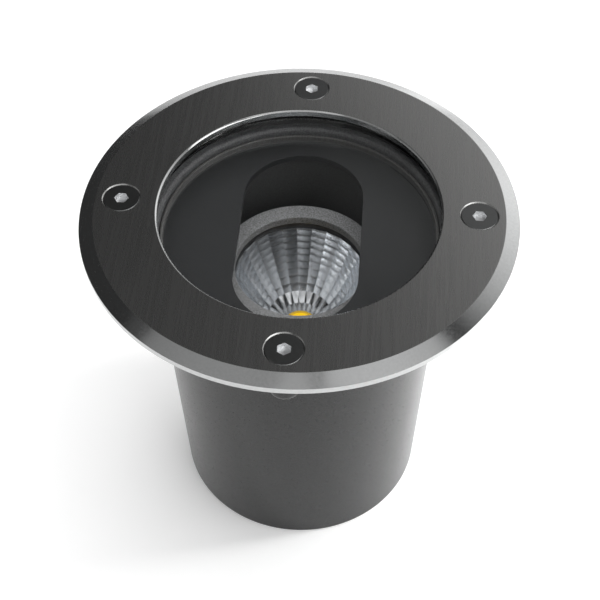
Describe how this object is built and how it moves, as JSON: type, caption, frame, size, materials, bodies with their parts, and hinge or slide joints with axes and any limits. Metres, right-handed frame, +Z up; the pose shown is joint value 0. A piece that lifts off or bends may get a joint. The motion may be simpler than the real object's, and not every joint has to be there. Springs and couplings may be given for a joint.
{
  "type": "in-ground well light",
  "caption": "Round recessed ground light: bevelled steel trim ring over a tapered die-cast can, clear glass, slotted baffle and a tilting lamp head with a faceted reflector.",
  "frame": {"origin": "centre of the can's flat bottom", "axes": "+Z up through the glass, +Y towards the cable gland, X along the lamp's tilt axis"},
  "size_m": [0.14, 0.14, 0.128],
  "materials": {
    "can_coating": "fine textured powder coat",
    "ring_steel": "satin stainless steel",
    "screw_steel": "stainless steel",
    "clear_glass": "clear tempered glass",
    "seal_rubber": "silicone rubber",
    "gland_plastic": "moulded nylon",
    "zinc_steel": "zinc plated steel",
    "driver_plastic": "moulded plastic",
    "terminal_plastic": "moulded plastic",
    "earth_brass": "plain brass",
    "baffle_coating": "matt black coating",
    "spacer_plastic": "black plastic",
    "reflector_metal": "bright anodised",
    "board_ceramic": "ceramic",
    "phosphor_resin": "phosphor resin",
    "pad_rubber": "filled silicone",
    "sink_aluminium": "black anodised",
    "washer_nylon": "nylon"
  },
  "bodies": {
    "body": {"housing": "can_coating", "trim_ring": "ring_steel", "cover_screws": "screw_steel", "glass_lens": "clear_glass", "glass_gasket": "seal_rubber", "gland_body": "gland_plastic", "gland_washer": "seal_rubber", "gland_seal": "seal_rubber", "gland_cap": "gland_plastic", "gear_tray": "zinc_steel", "tray_screws": "zinc_steel", "driver_case": "driver_plastic", "driver_lid": "driver_plastic", "driver_screws": "zinc_steel", "terminal_block": "terminal_plastic", "terminal_screws": "zinc_steel", "terminal_fixings": "zinc_steel", "earth_washer": "earth_brass", "earth_screw": "earth_brass"},
    "insert": {"baffle_plate": "baffle_coating", "yoke_arm_right": "zinc_steel", "yoke_arm_left": "zinc_steel", "yoke_washers": "zinc_steel", "yoke_nuts": "zinc_steel"},
    "lamp_head": {"lamp_barrel": "can_coating", "reflector_spacer": "spacer_plastic", "reflector": "reflector_metal", "led_board": "board_ceramic", "led_phosphor": "phosphor_resin", "thermal_pad": "pad_rubber", "led_holder": "spacer_plastic", "holder_screws": "zinc_steel", "heat_sink": "sink_aluminium", "heat_sink_screws": "zinc_steel", "friction_washers": "washer_nylon", "spring_washers": "zinc_steel", "pivot_screws": "zinc_steel"}
  },
  "joints": [
    {"name": "swivel", "type": "hinge", "parent": "body", "child": "insert", "pos_m": [0, 0, 0.11242], "axis": [0, 0, 1], "range_deg": [-175, 175]},
    {"name": "tilt", "type": "hinge", "parent": "insert", "child": "lamp_head", "pos_m": [0, 0, 0.08802], "axis": [1, 0, 0], "range_deg": [-20, 20]}
  ]
}
